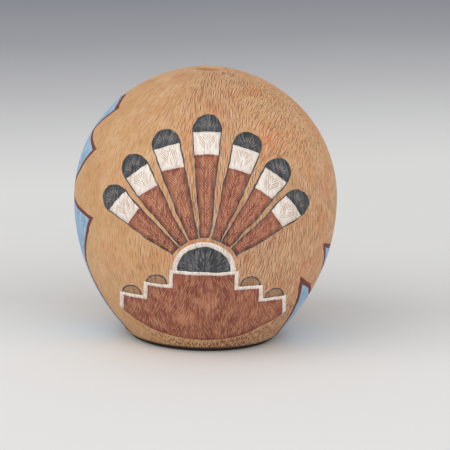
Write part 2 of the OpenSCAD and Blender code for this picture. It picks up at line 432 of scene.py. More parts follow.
Stroke = collections.namedtuple("Stroke", "middle way length half_w depth bend")
RIM_AT = np.array([-0.5, -0.22, 0.22, 0.5, 0.22, -0.22])
RIM_SIDE = np.array([0, 1, 1, 0, -1, -1])
KEEL_AT = np.array([-0.3, 0.3])
KEEL_GROW = 1.4


def stroke_line(stroke, at, side=0):
    """Places along a bent stroke, at shares of its length, and to a side by shares of its half width."""
    way = np.asarray(stroke.way)
    across = np.array([-way[1], way[0]])
    off = side * stroke.half_w + stroke.bend * stroke.length * (0.25 - at ** 2)
    return stroke.middle + at[:, None] * stroke.length * way + off[:, None] * across


def add_strokes(points, edges, etch, strokes):
    """Adds strokes to a triangulation's input; returns the rims as pairs of point numbers."""
    rims = []
    count = len(RIM_AT)
    for stroke in strokes:
        first = len(points)
        points.extend(stroke_line(stroke, RIM_AT, RIM_SIDE))
        points.extend(stroke_line(stroke, KEEL_AT))
        etch.extend(-BURR * stroke.depth * np.abs(RIM_SIDE))
        etch.extend([stroke.depth] * len(KEEL_AT))
        ring = [(first + i, first + (i + 1) % count) for i in range(count)]
        keel = [first] + list(range(first + count, len(points))) + [first + count // 2]
        edges.extend(ring)
        edges.extend(zip(keel[:-1], keel[1:]))
        rims.extend(ring)
    return rims


def triangulated(points, edges, etch):
    """Constrained triangulation: places, triangles, etch per place and input number per place."""
    flat = [Vector((float(p[0]), float(p[1]))) for p in points]
    places, _, triangles, origins, _, _ = geometry.delaunay_2d_cdt(flat, edges, [], 0, 1e-6, True)
    source = np.array([ids[0] if ids else -1 for ids in origins])
    deep = np.where(source >= 0, np.array(etch + [0.0])[source], 0)
    return np.array([tuple(p) for p in places]), np.array(triangles), deep, source


def turned(ways, angles):
    c, s = np.cos(angles), np.sin(angles)
    return np.stack([c * ways[:, 0] - s * ways[:, 1], s * ways[:, 0] + c * ways[:, 1]], 1)


def take_cells(taken, stroke, at, low, cell, wide, tall):
    """Takes the cells along and round a stroke, if those along it are free; returns whether it did."""
    spots = ((stroke_line(stroke, at) - low) / cell).astype(int)
    spots = np.clip(spots, 0, np.array(taken.shape) - 1)
    if taken[spots[:, 0], spots[:, 1]].any():
        return False
    for x, y in spots:
        taken[max(0, x - wide):x + wide + 1, max(0, y - tall):y + tall + 1] = True
    return True


def scattered_strokes(loops, scatter, direction):
    """Strokes thrown into loops, clear of each other and of the edges, bare between clumps."""
    rng = np.random.default_rng(scatter.seed)
    tries = scatter.tries
    corners = np.concatenate(loops)
    low, high = corners.min(0), corners.max(0)
    middles = low + rng.random((tries, 2)) * (high - low)
    lengths = scatter.length * rng.uniform(*SCATTER_LENGTHS, tries)
    ways = turned(np.array([direction(m) for m in middles]), rng.normal(0, scatter.spread, tries))
    fits = noise_over(middles, SCATTER_CLUMP, scatter.seed) > scatter.bare
    for share in STROKE_SHARES:
        places = middles + share * lengths[:, None] * ways
        fits &= inside(places, loops)
        fits &= edge_distance(places, loops) > scatter.half_w + SCATTER_EDGE_CLEAR
    taken = np.zeros(np.ceil((high - low) / SCATTER_CELL).astype(int) + 1, bool)
    clear = max(1, int(scatter.side_clear / SCATTER_CELL))
    kept = []
    for i in np.flatnonzero(fits):
        half_w = scatter.half_w * rng.uniform(*SCATTER_WIDTHS)
        depth = scatter.depth * rng.uniform(*SCATTER_DEPTHS)
        bend = rng.uniform(-SCATTER_BEND, SCATTER_BEND)
        stroke = Stroke(middles[i], ways[i], lengths[i], half_w, depth, bend)
        at = np.arange(-0.5, 0.51, SCATTER_CELL / lengths[i])
        if take_cells(taken, stroke, at, low, SCATTER_CELL, clear, clear):
            kept.append(stroke)
    return kept


# Meshes

def new_object(name, data):
    thing = bpy.data.objects.new(name, data)
    bpy.context.scene.collection.objects.link(thing)
    return thing


def new_piece(name, node, slot, places, faces, etch, inner, rims):
    """A piece of the places that its faces use, with sharp rims, for a CAD node if one is named."""
    used, faces = np.unique(faces, return_inverse=True)
    renumber = np.full(len(places), -1)
    renumber[used] = np.arange(len(used))
    mesh = bpy.data.meshes.new(name)
    mesh.from_pydata((places[used] * MM).tolist(), [], faces.reshape(-1, 3).tolist())
    for key, values in (("etch", etch), ("inner", inner)):
        mesh.attributes.new(key, "FLOAT", "POINT").data.foreach_set("value", values[used].astype(np.float32))
    mesh.polygons.foreach_set("use_smooth", [True] * len(mesh.polygons))
    if len(rims):
        ends = np.zeros(len(mesh.edges) * 2, np.int32)
        mesh.edges.foreach_get("vertices", ends)
        ends = np.sort(ends.reshape(-1, 2), 1).astype(np.int64)
        span = len(used) + 1
        wanted = np.sort(renumber[rims], 1)
        wanted = wanted[wanted[:, 0] >= 0]
        hit = np.isin(ends[:, 0] * span + ends[:, 1], wanted[:, 0] * span + wanted[:, 1])
        mesh.edges.foreach_set("use_edge_sharp", hit)
    mesh.materials.append(MATERIALS[slot])
    mesh.validate()
    mesh.update()
    piece = new_object(name, mesh)
    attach(piece, "root")
    if node:
        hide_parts(node)


def placed_rims(rims, source, count):
    """Pairs of a triangulation's input numbers, as pairs of numbers of its places."""
    place = np.full(count + 1, -1)
    place[source] = np.arange(len(source))
    return place[np.array(rims, int).reshape(-1, 2)]


def wander(place, size, layer):
    """How a hand strays at a place of a chart, across and up, each about -1 to 1."""
    spot = Vector((place[0] / size, place[1] / size, layer))
    return noise.noise(spot), noise.noise(spot + STRAY_SHIFT)


def brushed(flat, turn):
    """Chart places moved as a brush strays; neighbours that share an edge move alike."""
    moved = np.array(flat)
    for stray in BRUSH_STRAYS:
        moved += stray.reach * np.array([wander(place, stray.size, turn + stray.layer) for place in flat])
    return moved


def tile_grid(loops, strokes):
    """Points of an even grid inside loops, clear of their edges and of the strokes."""
    corners = np.concatenate(loops)
    low, high = corners.min(0), corners.max(0)
    rows = np.arange(low[1], high[1], TILE_GRID * TILE_ROW)
    grid = np.array([(x + TILE_GRID / 2 * (i % 2), z) for i, z in enumerate(rows)
                     for x in np.arange(low[0], high[0], TILE_GRID)])
    grid = grid[inside(grid, loops) & (edge_distance(grid, loops) > TILE_EDGE_CLEAR * TILE_GRID)]
    for stroke in strokes:
        line = stroke_line(stroke, KEEL_AT * KEEL_GROW)
        grid = grid[edge_distance(grid, [line]) > stroke.half_w + TILE_STROKE_CLEAR]
    return grid


def skirt_faces(triangles, count):
    """Faces between the borders of a layer's top and root, whose numbers are a count higher."""
    sides = np.concatenate([triangles[:, [0, 1]], triangles[:, [1, 2]], triangles[:, [2, 0]]])
    keys = sides[:, 0] * count + sides[:, 1]
    back = sides[:, 1] * count + sides[:, 0]
    rim = sides[~np.isin(back, keys)]
    quads = np.stack([rim[:, 0], rim[:, 0] + count, rim[:, 1] + count, rim[:, 1]], 1)
    return np.concatenate([quads[:, [0, 1, 2]], quads[:, [0, 2, 3]]])


def painted_tile(name, node, slot, loops, strokes=(), turn=FRONT):
    """A thin closed layer of coloured slip, etched by strokes."""
    points, edges = [], []
    for loop in loops:
        fine = divided(loop, EDGE_STEP)
        first = len(points)
        points.extend(fine)
        edges.extend((first + i, first + (i + 1) % len(fine)) for i in range(len(fine)))
    border = len(points)
    points.extend(tile_grid(loops, strokes))
    etch = [0.0] * len(points)
    rims = add_strokes(points, edges, etch, strokes)
    flat, triangles, deep, source = triangulated(points, edges, etch)
    corners = flat[triangles]
    first_side, second_side = corners[:, 1] - corners[:, 0], corners[:, 2] - corners[:, 0]
    area = (first_side[:, 0] * second_side[:, 1] - first_side[:, 1] * second_side[:, 0]) / 2
    triangles = triangles[(area > SLIVER) & inside(corners.mean(1), loops)]
    on_border = (source >= 0) & (source < border)
    wall, normals = chart_to_wall(brushed(flat, turn), turn)
    top = raised(wall, normals, np.where(on_border, PAINT_EDGE_RISE, PAINT_RISE) - deep * PAINT_ETCH)
    root = raised(wall, normals, np.full(len(wall), -PAINT_ROOT))
    count = len(flat)
    faces = np.concatenate([triangles, triangles[:, ::-1] + count, skirt_faces(triangles, count)])
    inner = np.clip(edge_distance(flat, loops) / WORN_REACH, 0, 1)
    rims = placed_rims(rims, source, len(points))
    new_piece(name, node, slot, np.concatenate([top, root]), faces, np.concatenate([deep, deep * 0]),
              np.concatenate([inner, inner]), rims)


def paint_mask(loops):
    """Raster of a chart that is true on and near its painted shapes, with its low corner."""
    corners = np.concatenate(loops)
    low = corners.min(0) - MASK_MARGIN
    size = np.ceil((corners.max(0) + MASK_MARGIN - low) / MASK_CELL).astype(int)
    across, up = np.meshgrid(np.arange(size[0]), np.arange(size[1]), indexing="ij")
    places = low + MASK_CELL * np.stack([across.ravel(), up.ravel()], 1)
    near = edge_distance(places, loops) < STROKE_PAINT_CLEAR
    for loop in loops:
        near |= inside(places, [loop])
    return low, near.reshape(size)


def on_paint(wall, masks):
    """Which places on the wall lie on or near a painted shape."""
    hit = np.zeros(len(wall), bool)
    for turn, (low, near) in masks.items():
        chart, facing = wall_to_chart(wall, turn)
        spots = np.round((chart - low) / MASK_CELL).astype(int)
        within = ((spots >= 0) & (spots < near.shape)).all(1)
        spots = np.clip(spots, 0, np.array(near.shape) - 1)
        hit |= facing & within & near[spots[:, 0], spots[:, 1]]
    return hit


def stroke_regions(middles, turn, z):
    """Shares of the slanting shoulder and of the crowded foot at places, and the strokes' strength."""
    before_back = 1 - smooth_step(turn, *RIGHT_END_TURN)
    slant = smooth_step(turn, *SHOULDER_TURN) * before_back * smooth_step(z, *SHOULDER_Z)
    low_right = smooth_step(turn, *LOW_RIGHT_TURN) * before_back * smooth_step(z, *LOW_RIGHT_Z)
    crowd = np.maximum(smooth_step(z, *FOOT_Z), low_right)
    nicks = smooth_step(noise_over(middles, NICK_SIZE, NICK_LAYER), *NICK_FROM)
    strength = 1 - FAINT_SHARE * np.exp(-((turn - FAINT_TURN) / FAINT_REACH) ** 2)
    return slant, crowd, np.maximum(strength, NICK_STRENGTH * nicks)


def ground_strokes(painted):
    """Short upright strokes on the tan coat, clear of the painted shapes, and the cells they take.

    They are faint at the left front, slant on the right shoulder, and crowd at the foot.
    """
    rng = np.random.default_rng(GROUND_SEED)
    tries = STROKE_TRIES
    masks = {turn: paint_mask(loops) for turn, loops in painted.items()}
    z = np.interp(rng.random(tries), TABLE_AREA, TABLE_Z)
    middles = np.stack([rng.uniform(-1, 1, tries) * MERCATOR_W, np.interp(z, TABLE_Z, TABLE_M)], 1)
    scale = BELLY_R / wall_radius(z)
    slant, crowd, strength = stroke_regions(middles, np.degrees(middles[:, 0] / BELLY_R), z)
    lengths = np.linspace(STROKE_FIRST_L, STROKE_LAST_L, tries) * rng.uniform(*STROKE_L_SPREAD, tries)
    lengths *= (1 - CROWD_LESS_L * crowd) * (1 + SLANT_MORE_L * slant)
    sway = SWAY * noise_over(middles, SWAY_SIZE, SWAY_LAYER)
    lean = sway * (1 - SLANT_SWAY_LOSS * slant) + SLANT_LEAN * slant
    lean = lean + rng.normal(0, LEAN_SPREAD + LEAN_SPREAD * slant)
    ways = np.stack([np.sin(lean), np.cos(lean)], 1)
    half_ws = (STROKE_LEAST_W + strength * rng.uniform(*STROKE_MORE_W, tries)) * scale
    half_ws = half_ws * (1 + CROWD_MORE_W * crowd)
    depths = strength * rng.uniform(*STROKE_DEPTHS, tries) * (1 + CROWD_MORE_DEPTH * crowd)
    depths = np.minimum(depths, STROKE_DEEPEST)
    bends = rng.uniform(-STROKE_BEND, STROKE_BEND, tries) * (1 + slant)
    clear = STROKE_SIDE_CLEAR - SLANT_LESS_CLEAR * slant - CROWD_LESS_CLEAR * crowd
    fits = np.abs(middles[:, 0]) < MERCATOR_W - SEAM_CLEAR * scale
    for share in STROKE_SHARES:
        flat = middles + (share * lengths * scale)[:, None] * ways
        fits &= (flat[:, 1] > STROKE_FOOT_CLEAR) & (flat[:, 1] < MERCATOR_H - STROKE_HOLE_CLEAR)
        fits &= ~on_paint(mercator_to_wall(flat)[0], masks)
    low = np.array([-MERCATOR_W, 0])
    size = np.array([2 * MERCATOR_W, MERCATOR_H]) / GRID_CELL
    taken = np.zeros(np.ceil(size).astype(int) + 1, bool)
    kept = []
    for i in np.flatnonzero(fits):
        k = scale[i]
        stroke = Stroke(middles[i], ways[i], lengths[i] * k, half_ws[i], depths[i], bends[i])
        ends = 0.5 + STROKE_END_CLEAR / lengths[i]
        at = np.linspace(-ends, ends, int(lengths[i] / STROKE_STEP) + 4)
        wide = int(clear[i] * k / GRID_CELL)
        tall = int(STROKE_END_CLEAR * k / GRID_CELL) + 1
        if take_cells(taken, stroke, at, low, GRID_CELL, wide, tall):
            kept.append(stroke)
    return kept, taken


def coat_grid(columns, rows, taken):
    """Points of the coat's outer skin, shaken off their grid except at its ends, clear of the strokes."""
    rng = np.random.default_rng(COAT_SEED)
    pitch = columns[1] - columns[0]
    points = []
    for i, m in enumerate(rows):
        for j, a in enumerate(columns):
            if i not in (0, len(rows) - 1) and j not in (0, len(columns) - 1):
                a += rng.uniform(-WALL_JITTER, WALL_JITTER) * pitch + (0.5 * pitch if i % 2 else 0)
                if a > columns[-2] or taken[int((a + MERCATOR_W) / GRID_CELL), int(m / GRID_CELL)]:
                    continue
            points.append((a, m))
    return points


def inner_face(columns, rows, first):
    """The coat's plain face on the clay: its places, and faces numbered from a first point."""
    chosen = rows[np.linspace(0, len(rows) - 1, INNER_ROWS).round().astype(int)]
    wall, normals = mercator_to_wall(np.array([(a, m) for m in chosen for a in columns[:-1]]))
    faces = []
    for i in range(INNER_ROWS - 1):
        for j in range(WALL_COLUMNS):
            a = first + i * WALL_COLUMNS + j
            b = first + i * WALL_COLUMNS + (j + 1) % WALL_COLUMNS
            faces += [(a, a + WALL_COLUMNS, b), (b, a + WALL_COLUMNS, b + WALL_COLUMNS)]
    return wall - normals * SLIP_T, faces


def end_faces(flat, row, first, up):
    """Faces from an end row of the outer skin to the inner face's ring with a given first point."""
    on_row = np.flatnonzero((np.abs(flat[:, 1] - row) < SAME_ROW) & (flat[:, 0] < MERCATOR_W - SAME_PLACE))
    order = on_row[np.argsort(flat[on_row, 0])]
    faces = []
    for j in range(WALL_COLUMNS):
        a, b = order[j], order[(j + 1) % WALL_COLUMNS]
        c, d = first + j, first + (j + 1) % WALL_COLUMNS
        quad = [(a, b, d), (a, d, c)]
        faces += quad if up else [corner[::-1] for corner in quad]
    return faces


def etched_ground(painted):
    """The tan slip coat: an etched outer skin, closed by a plain inner face on the clay."""
    strokes, taken = ground_strokes(painted)
    columns = np.linspace(-MERCATOR_W, MERCATOR_W, WALL_COLUMNS + 1)
    rows = np.linspace(0, MERCATOR_H, round(MERCATOR_H / (columns[1] - columns[0]) / WALL_ROW) + 1)
    points, edges = coat_grid(columns, rows, taken), []
    etch = [0.0] * len(points)
    rims = add_strokes(points, edges, etch, strokes)
    flat, triangles, deep, source = triangulated(points, edges, etch)
    seam = {round(flat[i, 1], 3): i for i in np.flatnonzero(flat[:, 0] < -MERCATOR_W + SAME_PLACE)}
    weld = np.arange(len(flat))
    for i in np.flatnonzero(flat[:, 0] > MERCATOR_W - SAME_PLACE):
        weld[i] = seam[round(flat[i, 1], 3)]
    wall, normals = mercator_to_wall(flat)
    outer = raised(wall, normals, -deep * GROUND_ETCH)
    base = len(outer)
    inner, faces = inner_face(columns, rows, base)
    faces = list(weld[triangles]) + faces
    faces += end_faces(flat, 0, base, False)
    faces += end_faces(flat, MERCATOR_H, base + (INNER_ROWS - 1) * WALL_COLUMNS, True)
    deep = np.concatenate([deep, np.zeros(len(inner))])
    rims = weld[placed_rims(rims, source, len(points))]
    places = np.concatenate([outer, inner])
    new_piece("etched_slip_coat", "slip_coat", "tan_slip", places, np.array(faces), deep, deep * 0 + 1, rims)


# Materials

def srgb(red, green, blue):
    """A colour written in 0 to 255, as the renderer's linear values."""
    parts = [c / 255 for c in (red, green, blue)]
    return tuple(c / 12.92 if c <= 0.04045 else ((c + 0.055) / 1.055) ** 2.4 for c in parts) + (1.0,)


# Way of the slanting strokes on the right shoulder
SHOULDER_WAY = (0.42, 0.72, 0.55)
# Sockets of the colours in a mix node
MIX_COLOURS, MIX_RESULT = (6, 7), 2
# Depths of the surface grain, in metres
SLIP_GRAIN, GRIT_GRAIN, PORE_GRAIN = 0.00012, 0.00015, 0.0002


class Nodes:
    """Short names for building one node material; a value is a plain one or a node's output."""

    def __init__(self, name):
        self.material = bpy.data.materials.new(name)
        self.material.use_nodes = True
        self.tree = self.material.node_tree
        self.shader = self.tree.nodes["Principled BSDF"]

    def put(self, socket, value):
        """Gives a socket a plain value or a node's output; None leaves it alone."""
        if isinstance(value, bpy.types.NodeSocket):
            self.tree.links.new(value, socket)
        elif value is not None:
            socket.default_value = value

    def add(self, kind, *inputs, **named):
        """A shader node; its first inputs go in order, its settings and other inputs by name."""
        node = self.tree.nodes.new("ShaderNode" + kind)
        for key, value in named.items():
            if hasattr(node, key):
                setattr(node, key, value)
            else:
                self.put(node.inputs[key.replace("_", " ")], value)
        for socket, value in zip(node.inputs, inputs):
            self.put(socket, value)
        return node

    def first(self, kind, *inputs, **named):
        """First output of a new node."""
        return self.add(kind, *inputs, **named).outputs[0]

    def place(self, stretch):
        """Coordinates on the object, stretched per axis."""
        return self.first("Mapping", self.add("TexCoord").outputs["Object"], Scale=stretch)

    def split(self):
        """The object's own coordinates: across, back and up."""
        return self.add("SeparateXYZ", self.place((1, 1, 1))).outputs

    def meridian(self, upright):
        """Coordinates whose lines run from the foot to the seed hole, drawn out along them."""
        ring = self.first("VectorMath", self.place((1, 1, 0)), operation="NORMALIZE")
        belly = self.first("VectorMath", ring, operation="SCALE", Scale=BELLY_R * MM)
        return self.first("VectorMath", belly, self.place((0, 0, upright)), operation="ADD")

    def drawn_out(self, way, along):
        """Coordinates on the object, drawn out along one way."""
        turn = Vector(way).rotation_difference(Vector((0, 0, 1))).to_euler()
        upright = self.first("Mapping", self.place((1, 1, 1)), Rotation=turn)
        return self.first("Mapping", upright, Scale=(1, 1, along))

    def noise(self, per_metre, detail, rough, coords=None):
        coords = coords or self.place((1, 1, 1))
        return self.first("TexNoise", coords, Scale=per_metre, Detail=detail, Roughness=rough)

    def ramp(self, value, low, high):
        """A smooth step from 0 at one value to 1 at another."""
        return self.first("MapRange", value, low, high, interpolation_type="SMOOTHSTEP")

    def rise(self, length, low, high):
        """A smooth step between two lengths in millimetres."""
        return self.ramp(length, low * MM, high * MM)

    def spots(self, per_metre, detail, rough, low, high, coords=None):
        """Noise cut into spots, from 0 between them to 1 in their middles."""
        return self.ramp(self.noise(per_metre, detail, rough, coords), low, high)

    def spread(self, share, low, high):
        """A share from 0 to 1, spread between two values."""
        return self.first("MapRange", share, To_Min=low, To_Max=high)

    def scaled(self, value, factor):
        return self.first("Math", value, factor, operation="MULTIPLY")

    def line(self, value, factor, offset):
        """A value times a factor plus an offset, kept between 0 and 1."""
        return self.first("Math", value, factor, offset, operation="MULTIPLY_ADD", use_clamp=True)

    def attribute(self, name):
        return self.add("Attribute", attribute_name=name).outputs["Fac"]

    def mix(self, share, first, second):
        """A colour between two, each in 0 to 255 or a node's output."""
        node = self.add("Mix", data_type="RGBA", Factor=share)
        for index, colour in zip(MIX_COLOURS, (first, second)):
            self.put(node.inputs[index], srgb(*colour) if isinstance(colour, tuple) else colour)
        return node.outputs[MIX_RESULT]

    def layers(self, colour, *layers):
        """A colour moved toward others in turn, each by a share times a strength."""
        for share, strength, other in layers:
            colour = self.mix(self.scaled(share, strength), colour, other)
        return colour

    def bump(self, height, strength, distance, below=None):
        return self.first("Bump", Strength=strength, Distance=distance, Height=height, Normal=below)

    def finish(self, colour, roughness, specular, normal=None):
        """The material, with its shader set."""
        looks = {"Base Color": colour, "Roughness": roughness, "Specular IOR Level": specular,
                 "Normal": normal}
        for key, value in looks.items():
            self.put(self.shader.inputs[key], value)
        return self.material


def slip_finish(n, colour, streak):
    """Matt slip surface: uneven roughness, brushed hairlines and fine grain."""
    grain = n.bump(n.noise(3200, 3, 0.65), 0.3, SLIP_GRAIN)
    return n.finish(colour, n.spread(streak, 0.62, 0.86), 0.3, n.bump(streak, 0.35, SLIP_GRAIN, grain))


def tan_material():
    """Etched tan slip: clouds, a blush, hairlines, strokes with pale burrs, painted shade on the right side
    and toward the foot, and a painted contact shadow at the foot's edge.
    """
    n = Nodes("tan_slip")
    x, _, z = n.split()
    right = n.rise(x, -26, 6)
    shoulder = n.scaled(n.rise(x, 0, 14), n.rise(z, 40, 51))
    low = n.rise(z, 10, 3)
    low_right = n.scaled(n.rise(z, 19, 9), n.rise(x, -4, 10))
    clouds = n.spots(95, 4, 0.6, 0.36, 0.66)
    blush = n.spots(125, 4, 0.65, 0.46, 0.66)
    pale = n.spots(170, 3, 0.6, 0.5, 0.7, n.place((1, 1, 0.5)))
    olive = n.spots(240, 3, 0.6, 0.5, 0.66, n.place((1, 1, 0.7)))
    speck = n.spots(2400, 2, 0.5, 0.64, 0.76)
    blushing = n.line(shoulder, 0.42, n.line(right, 0.4, 0.3))
    # Painted shade: the right side is darkened toward a deeper brown, less on the shoulder and at the far
    # right edge.
    right_shade = n.line(n.rise(x, 18, 30), -0.3, n.line(shoulder, -0.4, 0.44))
    colour = n.layers(
        (211, 169, 124),
        (clouds, 0.85, (200, 154, 106)),
        (blush, blushing, (208, 132, 88)),
        # painted shade on the right side
        (n.rise(x, -14, 10), right_shade, (168, 119, 92)),
        (pale, n.line(shoulder, -0.25, 0.45), (219, 185, 147)),
        (olive, n.line(right, -0.25, 0.4), (192, 152, 96)),
        # Painted shade: darker toward the foot.
        (low, 0.15, (176, 132, 90)))
    upright = n.line(shoulder, -0.9, n.line(right, 0.6, 0.32))
    pale_hair, golden_hair = (224, 180, 146), (222, 170, 124)
    streaks = ((n.meridian(0.45), low_right, pale_hair), (n.meridian(0.2), upright, pale_hair),
               (n.drawn_out(SHOULDER_WAY, 0.16), shoulder, golden_hair))
    for coords, share, hair_colour in streaks:
        hair = n.spots(1900, 2, 0.5, 0.46, 0.66, coords)
        thread = n.spots(2300, 2, 0.5, 0.5, 0.66, coords)
        colour = n.layers(colour, (n.scaled(hair, share), 0.58, hair_colour),
                          (n.scaled(thread, share), 0.75, (146, 98, 73)))
    etch = n.attribute("etch")
    burr = n.line(n.rise(z, 4, 12), 0.45, 0.25)
    core = n.mix(n.line(low, 1, low_right), (124, 78, 55), (104, 66, 46))
    colour = n.layers(
        colour,
        (speck, 0.25, (140, 92, 62)),
        (n.ramp(etch, -0.05, -0.2), burr, (226, 184, 148)),
        (n.ramp(etch, -0.04, 0.34), n.line(shoulder, -0.3, 0.88), core),
        # Painted contact shadow: a near-black band at the foot's lowest edge.
        (n.rise(z, 1.7, 1), 0.85, (24, 18, 15)))
    return slip_finish(n, colour, hair)


def paint_material(name, main, deep, light, etched, dark, patchy, streaky, scratchy):
    """Coloured slip: mottled, streaked, scratched and etched, and worn light away from its edges."""
    n = Nodes(name)
    coords = n.meridian(0.22)
    hair = n.spots(1500, 2, 0.55, 0.5, 0.66, coords)
    thread = n.spots(1800, 2, 0.55, 0.52, 0.66, coords)
    broad = n.spots(110, 4, 0.6, 0.36, 0.66)
    patch = n.spots(330, 4, 0.65, 0.44, 0.7, n.place((1, 1, 0.45)))
    streak = n.spots(1100, 3, 0.6, 0.38, 0.7, n.place((1, 1, 0.14)))
    speck = n.spots(2600, 2, 0.5, 0.62, 0.74)
    worn = n.scaled(patch, n.attribute("inner"))
    strokes = n.ramp(n.attribute("etch"), 0, 0.5)
    colour = n.layers(
        main, (broad, 0.75, deep), (worn, patchy, light), (streak, streaky, light),
        (hair, scratchy, light), (thread, scratchy, dark), (speck, 0.3, deep), (strokes, 0.92, etched))
    return slip_finish(n, colour, streak)


def clay_material(name, main, second, smoke):
    """Bare fired clay: mottled tones, pale temper grit, smoke in the pores, and a painted contact shadow as
    a near-black band round the foot's edge.
    """
    n = Nodes(name)
    broad = n.spots(60, 4, 0.6, 0.35, 0.68)
    grit = n.spots(1500, 2, 0.5, 0.6, 0.7)
    pores = n.spots(700, 3, 0.6, 0.58, 0.72)
    _, _, z = n.split()
    reach = n.add("VectorMath", n.place((1, 1, 0)), operation="LENGTH").outputs["Value"]
    # Painted contact shadow: a near-black band round the foot's lowest edge.
    edge = n.scaled(n.rise(z, 1.4, 0.9), n.rise(reach, 16.2, 17.2))
    colour = n.layers(
        main, (broad, 0.8, second), (grit, 0.35, (224, 196, 160)), (pores, 0.5, smoke),
        (edge, 0.95, (16, 12, 10)))
    normal = n.bump(pores, 0.5, PORE_GRAIN, n.bump(grit, 0.4, GRIT_GRAIN))
    return n.finish(colour, n.spread(broad, 0.75, 0.95), 0.25, normal)


# Coloured slips: main, deep, light, etched and dark tone, and how patchy, streaky and scratchy they are
SLIPS = {
    "blue_slip": (
        (142, 180, 213), (122, 164, 204), (182, 201, 214), (92, 116, 144), (90, 120, 156), 0.75, 0.5, 0.6),
    "dark_red_slip": (
        (116, 57, 50), (98, 46, 42), (146, 86, 72), (150, 98, 78), (86, 38, 36), 0.3, 0.4, 0.4),
    "red_brown_slip": (
        (146, 80, 64), (116, 58, 50), (190, 132, 100), (212, 162, 126), (98, 48, 42), 0.9, 0.4, 0.55),
    "dark_grey_slip": (
        (66, 69, 74), (46, 46, 50), (118, 120, 124), (168, 146, 128), (34, 33, 36), 0.75, 0.4, 0.6),
    "cream_slip": (
        (235, 225, 214), (218, 200, 188), (249, 245, 239), (172, 132, 108), (186, 150, 130), 0.6, 0.4, 0.5),
    "ochre_slip": (
        (160, 120, 88), (130, 98, 74), (190, 150, 110), (86, 80, 74), (98, 76, 62), 0.8, 0.4, 0.5),
}
MATERIALS = {slot: paint_material(slot, *looks) for slot, looks in SLIPS.items()}
MATERIALS["tan_slip"] = tan_material()
CLAY = clay_material("fired_clay", (190, 147, 108), (176, 133, 96), (128, 92, 68))
RUBBED = clay_material("rubbed_clay", (206, 162, 120), (196, 148, 106), (166, 120, 86))


# Pieces

def slanting(place):
    return SLANT_WAY


def from_above(place):
    """Way of a falling stroke on the terrace, fanning out from high above and swaying."""
    sway = FUR_SWAY * noise_over([place], FUR_SWAY_SIZE, FUR_LAYER)[0]
    angle = math.atan2(place[0], FAN_Z + FUR_ABOVE - place[1]) + sway
    return math.sin(angle), -math.cos(angle)


def from_hub(place):
    run = np.array([place[0], place[1] - FAN_Z + RAYS_BELOW])
    return run / np.linalg.norm(run)


def uneven_line(contour):
    """Inner and outer edge of a brushed line of uneven width round a contour."""
    fine = divided(contour, LINE_STEP)
    shares = LINE_SHARE + LINE_SWELL * noise_over(fine, LINE_SWELL_SIZE, LINE_LAYER)
    return fine, fine + shares[:, None] * (inset(fine, -LINE_W) - fine)


def leaned_stroke(start, end, lean, half_w, depth):
    """A straight stroke of an upright feather, leaned with it."""
    ends = leaned([start, end], lean)
    run = ends[1] - ends[0]
    length = np.linalg.norm(run)
    return Stroke(ends.mean(0), run / length, length, half_w, depth, 0.0)


def herringbone(low_back, high_back, seed):
    """Quill line and slanting barbs of every feather, between two distances back from its tip."""
    rng = np.random.default_rng(seed)
    strokes = []
    for lean, length in feather_frames():
        low = max(FEATHER_FROM, FEATHER_FROM + length - low_back) + QUILL_FOOT_GAP
        high = FEATHER_FROM + length - high_back - QUILL_TOP_GAP
        for start in np.arange(low, high - QUILL_LEAST, QUILL_PITCH):
            end = min(start + QUILL_DASH, high)
            strokes.append(leaned_stroke((0, start), (0, end), lean, QUILL_HALF_W, QUILL_DEPTH))
        root = low + BARB_FIRST
        while root < high - BARB_LAST:
            for side in (-1, 1):
                at = root + rng.uniform(-BARB_JITTER, BARB_JITTER)
                run = (feather_half_width(length, at) - BARB_EDGE_GAP) / math.sin(BARB_SLANT)
                run = min(run * rng.uniform(*BARB_RUN), (high - at) / math.cos(BARB_SLANT))
                if run < BARB_LEAST:
                    continue
                start = (side * BARB_ROOT, at)
                end = (side * (BARB_ROOT + run * math.sin(BARB_SLANT)), at + run * math.cos(BARB_SLANT))
                half_w, depth = rng.uniform(*BARB_HALF_W), rng.uniform(*BARB_DEPTH)
                strokes.append(leaned_stroke(start, end, lean, half_w, depth))
            root += rng.uniform(*BARB_PITCH)
    return strokes


def tip_rays(seed):
    """Short strokes that spread in every dark feather tip."""
    rng = np.random.default_rng(seed)
    strokes = []
    for lean, length in feather_frames():
        foot = FEATHER_FROM + length - FEATHER_R
        for angle in np.arange(-RAY_SPREAD, RAY_SPREAD + 1, RAY_STEP):
            turn = math.radians(angle + rng.uniform(-RAY_JITTER, RAY_JITTER))
            near, far = rng.uniform(*RAY_NEAR), FEATHER_R - rng.uniform(*RAY_SHORT)
            start = (near * math.sin(turn), foot + near * math.cos(turn))
            end = (far * math.sin(turn), foot + far * math.cos(turn))
            half_w, depth = rng.uniform(*BARB_HALF_W), rng.uniform(*RAY_DEPTH)
            strokes.append(leaned_stroke(start, end, lean, half_w, depth))
    return strokes


def make_panels():
    """Blue side panels with their dark red lines; returns their outlines by chart."""
    outlines = {}
    for name, edge, turn in (("left", LEFT_EDGE, LEFT), ("right", RIGHT_EDGE, RIGHT)):
        outer = both_edges(edge)
        field = inset(outer, OUTLINE_W)
        scratches = scattered_strokes([field], PANEL_SCRATCHES, slanting)
        painted_tile(name + "_blue_panel", name + "_panel", "blue_slip", [field], scratches, turn)
        painted_tile(name + "_red_outline", name + "_outline", "dark_red_slip", [outer, field], (), turn)
        outlines[turn] = [outer]
    return outlines


